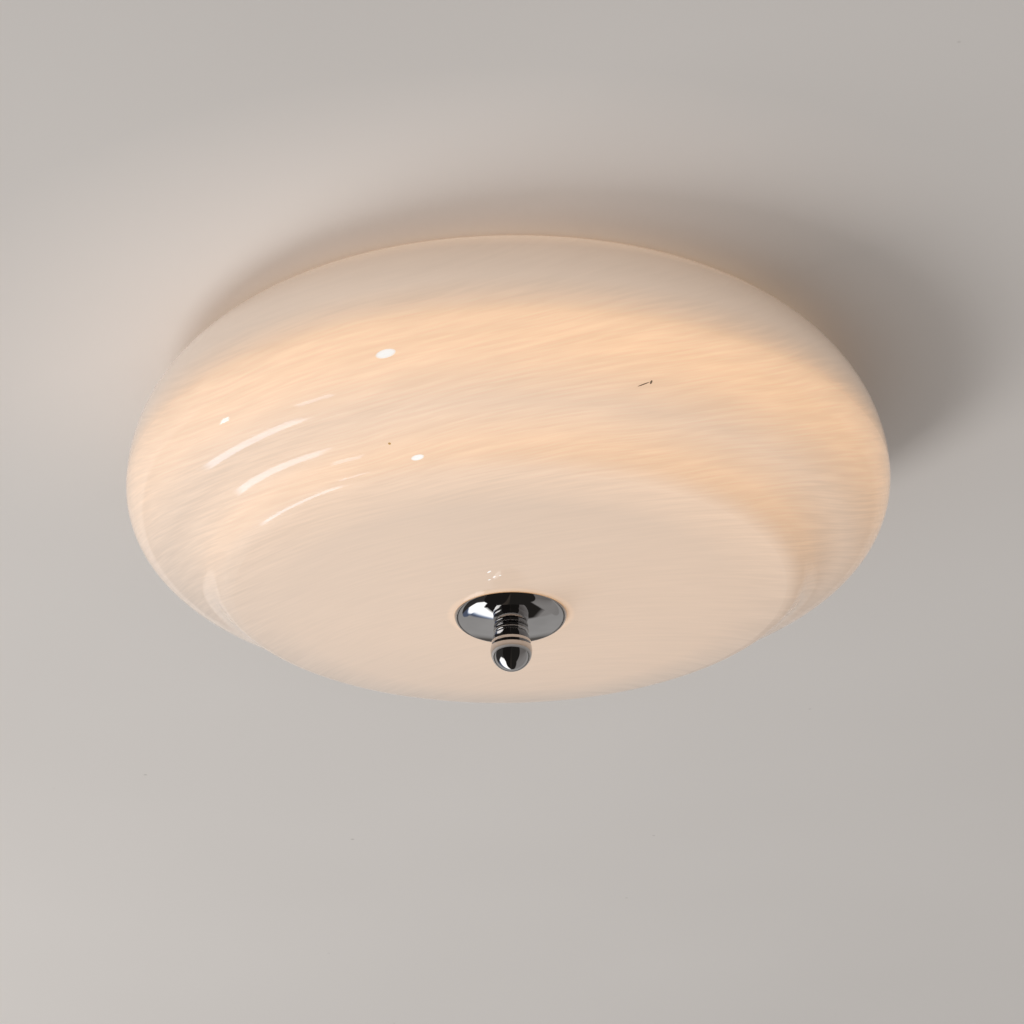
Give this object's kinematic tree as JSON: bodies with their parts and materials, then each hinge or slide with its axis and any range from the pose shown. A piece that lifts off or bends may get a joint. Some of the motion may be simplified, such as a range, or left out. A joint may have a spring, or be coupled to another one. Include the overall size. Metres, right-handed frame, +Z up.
{
  "type": "flush mount ceiling light",
  "caption": "Round flush mount ceiling light: a two-tier opal glass bowl held under a steel pan by a threaded rod, a chrome cap and a ball finial.",
  "frame": {"origin": "centre of the mounting plane, where the pan and its bar lie against the ceiling", "axes": "+Z up into the ceiling along the rod; the mounting bar runs along X and lamp 1 points along +Y"},
  "size_m": [0.3999, 0.4, 0.1616],
  "materials": {
    "opal_glass": "cased opal glass with cloudy streaks, glossy, lit from inside",
    "white_enamel": "gloss white enamel on pressed steel",
    "zinc_steel": "zinc plated, satin",
    "dark_chrome": "polished chrome",
    "brass_part": "bright brass",
    "clear_silicone": "milky silicone, matt",
    "black_rubber": "matt",
    "white_porcelain": "glazed porcelain",
    "aluminium_cap": "bright rolled aluminium",
    "white_housing": "white moulded plastic, matt",
    "lamp_diffuser": "frosted diffuser, lit",
    "natural_nylon": "natural polyamide",
    "lead_sleeving": "braided heat-resistant sleeving",
    "green_yellow": "green and yellow insulation"
  },
  "bodies": {
    "ceiling_body": {"ceiling_pan": "white_enamel", "mounting_bar": "zinc_steel", "bar_studs": "zinc_steel", "stud_washers": "zinc_steel", "cap_nuts": "zinc_steel", "suspension_rod": "zinc_steel", "rod_washers": "zinc_steel", "rod_lock_nuts": "zinc_steel", "seat_nut": "brass_part", "seat_washer": "zinc_steel", "bracket_screws": "zinc_steel", "bracket_nuts": "zinc_steel", "holder_screws": "zinc_steel", "terminal_block": "natural_nylon", "terminal_inserts": "brass_part", "terminal_screws": "zinc_steel", "block_screw": "zinc_steel", "block_nut": "zinc_steel", "earth_tag": "brass_part", "earth_screw": "brass_part", "earth_nut": "brass_part", "feed_leads": "lead_sleeving", "link_leads": "lead_sleeving", "earth_lead": "green_yellow", "entry_grommet": "black_rubber", "holder_bracket_1": "zinc_steel", "lampholder_1": "white_porcelain", "screw_shell_1": "brass_part", "centre_contact_1": "brass_part", "holder_bracket_2": "zinc_steel", "lampholder_2": "white_porcelain", "screw_shell_2": "brass_part", "centre_contact_2": "brass_part", "holder_bracket_3": "zinc_steel", "lampholder_3": "white_porcelain", "screw_shell_3": "brass_part", "centre_contact_3": "brass_part"},
    "shade_body": {"shade": "opal_glass", "glass_bush": "clear_silicone"},
    "cap_body": {"finial_cap": "dark_chrome", "cap_gasket": "clear_silicone"},
    "finial_body": {"finial": "dark_chrome"},
    "bulb_1": {"bulb_contact_1": "brass_part", "bulb_cap_1": "aluminium_cap", "bulb_housing_1": "white_housing", "bulb_diffuser_1": "lamp_diffuser"},
    "bulb_2": {"bulb_contact_2": "brass_part", "bulb_cap_2": "aluminium_cap", "bulb_housing_2": "white_housing", "bulb_diffuser_2": "lamp_diffuser"},
    "bulb_3": {"bulb_contact_3": "brass_part", "bulb_cap_3": "aluminium_cap", "bulb_housing_3": "white_housing", "bulb_diffuser_3": "lamp_diffuser"}
  },
  "joints": [
    {"name": "shade_lowering", "type": "slide", "parent": "ceiling_body", "child": "shade_body", "axis": [0, 0, -1], "range_m": [0, 0.15]},
    {"name": "cap_travel", "type": "slide", "parent": "shade_body", "child": "cap_body", "axis": [0, 0, -1], "range_m": [0, 0.012]},
    {"name": "finial_turn", "type": "hinge", "parent": "cap_body", "child": "finial_body", "pos_m": [0, 0, -0.1508], "axis": [0, 0, -1], "range_deg": [0, 4320]},
    {"name": "bulb_1_out", "type": "slide", "parent": "ceiling_body", "child": "bulb_1", "axis": [0, 1, 0], "range_m": [0, 0.028]},
    {"name": "bulb_2_out", "type": "slide", "parent": "ceiling_body", "child": "bulb_2", "axis": [-0.866, -0.5, 0], "range_m": [0, 0.028]},
    {"name": "bulb_3_out", "type": "slide", "parent": "ceiling_body", "child": "bulb_3", "axis": [0.866, -0.5, 0], "range_m": [0, 0.028]}
  ],
  "couplings": [
    {"joint": "finial_turn", "follows": "cap_travel", "rad_per_m": 6283.2}
  ]
}
